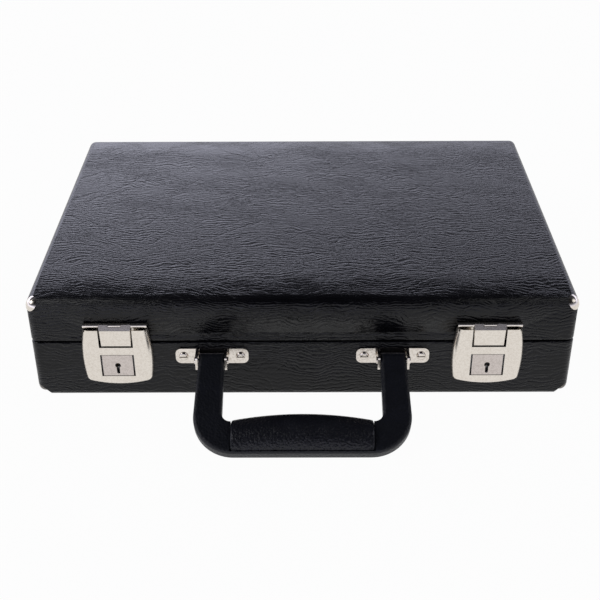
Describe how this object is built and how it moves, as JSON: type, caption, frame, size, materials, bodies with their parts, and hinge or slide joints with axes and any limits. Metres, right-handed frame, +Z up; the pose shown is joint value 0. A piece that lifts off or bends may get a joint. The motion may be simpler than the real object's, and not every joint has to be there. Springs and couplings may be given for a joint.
{
  "type": "recorder case",
  "caption": "Flat leatherette-covered case for recorders, with a hinged lid, key locks with snap hasps, a folding carrying handle and a fitted interior.",
  "frame": {"origin": "centre of the underside of the closed case, on the table", "axes": "+X to the right seen from the front, +Y from the front with the handle and locks to the hinges at the back, +Z up through the lid"},
  "size_m": [0.3552, 0.3293, 0.0746],
  "materials": {
    "leatherette": "embossed grain, satin",
    "bottom_sheet": "embossed grain, satin",
    "plywood": "bare",
    "lining": "short pile",
    "plush": "plush over foam",
    "bright_nickel": "polished nickel plate",
    "satin_nickel": "satin nickel plate",
    "plain_steel": "zinc plated",
    "brass": "turned",
    "handle_plastic": "satin moulded",
    "grip_vinyl": "satin vinyl"
  },
  "bodies": {
    "base": {"base_covering": "leatherette", "underside_sheet": "bottom_sheet", "base_front_board": "plywood", "base_back_board": "plywood", "base_left_board": "plywood", "base_right_board": "plywood", "base_bottom_panel": "plywood", "collar": "lining", "alto_head_bed": "plush", "alto_body_bed": "plush", "soprano_body_bed": "plush", "soprano_head_bed": "plush", "cleaning_rod_bed": "plush", "base_corner_studs": "bright_nickel", "handle_bracket_left": "bright_nickel", "handle_bracket_right": "bright_nickel", "bracket_screws": "bright_nickel", "handle_pins": "bright_nickel", "lock_body_left": "satin_nickel", "lock_body_right": "satin_nickel", "lock_plate_left": "plain_steel", "lock_plate_right": "plain_steel", "lock_screws": "plain_steel", "button_pins": "plain_steel", "catch_spring_left": "plain_steel", "catch_spring_right": "plain_steel", "hinge_base_leaf_left": "plain_steel", "hinge_base_leaf_right": "plain_steel", "hinge_pins": "plain_steel", "hinge_base_screws": "plain_steel"},
    "lid": {"lid_front_board": "plywood", "lid_back_board": "plywood", "lid_left_board": "plywood", "lid_right_board": "plywood", "lid_top_panel": "plywood", "lid_covering": "leatherette", "lid_pad": "lining", "lid_corner_studs": "bright_nickel", "hasp_plate_left": "plain_steel", "hasp_plate_right": "plain_steel", "hasp_plate_screws": "plain_steel", "hasp_pins": "plain_steel", "hinge_lid_leaf_left": "plain_steel", "hinge_lid_leaf_right": "plain_steel", "hinge_lid_screws": "plain_steel"},
    "handle": {"handle_body": "handle_plastic", "handle_grip": "grip_vinyl", "handle_core": "plain_steel"},
    "hasp_left": {"hasp_left": "satin_nickel"},
    "button_left": {"release_button_left": "satin_nickel"},
    "catch_left": {"catch_left": "plain_steel"},
    "tumbler_left": {"key_tumbler_left": "brass"},
    "hasp_right": {"hasp_right": "satin_nickel"},
    "button_right": {"release_button_right": "satin_nickel"},
    "catch_right": {"catch_right": "plain_steel"},
    "tumbler_right": {"key_tumbler_right": "brass"}
  },
  "joints": [
    {"name": "lid_hinge", "type": "hinge", "parent": "base", "child": "lid", "pos_m": [0, 0.1306, 0.043], "axis": [-1, 0, 0], "range_deg": [0, 100]},
    {"name": "handle_swing", "type": "hinge", "parent": "base", "child": "handle", "pos_m": [0, -0.1343, 0.0327], "axis": [-1, 0, 0], "range_deg": [0, 106]},
    {"name": "hasp_left_swing", "type": "hinge", "parent": "lid", "child": "hasp_left", "pos_m": [-0.1205, -0.1299, 0.057], "axis": [-1, 0, 0], "range_deg": [0, 120]},
    {"name": "button_left_press", "type": "hinge", "parent": "base", "child": "button_left", "pos_m": [-0.1205, -0.1312, 0.0352], "axis": [1, 0, 0], "range_deg": [0, 8], "stiffness_Nm_per_rad": 0.02, "springref_deg": -22.92},
    {"name": "catch_left_slide", "type": "slide", "parent": "base", "child": "catch_left", "axis": [0, 0, -1], "range_m": [0, 0.0015], "deforming": ["catch_spring_left"]},
    {"name": "tumbler_left_turn", "type": "hinge", "parent": "base", "child": "tumbler_left", "pos_m": [-0.1205, -0.126, 0.028], "axis": [0, 1, 0], "range_deg": [0, 90]},
    {"name": "hasp_right_swing", "type": "hinge", "parent": "lid", "child": "hasp_right", "pos_m": [0.1205, -0.1299, 0.057], "axis": [-1, 0, 0], "range_deg": [0, 120]},
    {"name": "button_right_press", "type": "hinge", "parent": "base", "child": "button_right", "pos_m": [0.1205, -0.1312, 0.0352], "axis": [1, 0, 0], "range_deg": [0, 8], "stiffness_Nm_per_rad": 0.02, "springref_deg": -22.92},
    {"name": "catch_right_slide", "type": "slide", "parent": "base", "child": "catch_right", "axis": [0, 0, -1], "range_m": [0, 0.0015], "deforming": ["catch_spring_right"]},
    {"name": "tumbler_right_turn", "type": "hinge", "parent": "base", "child": "tumbler_right", "pos_m": [0.1205, -0.126, 0.028], "axis": [0, 1, 0], "range_deg": [0, 90]}
  ],
  "couplings": [
    {"joint": "catch_left_slide", "follows": "button_left_press", "m_per_rad": 0.010743},
    {"joint": "catch_right_slide", "follows": "button_right_press", "m_per_rad": 0.010743}
  ]
}
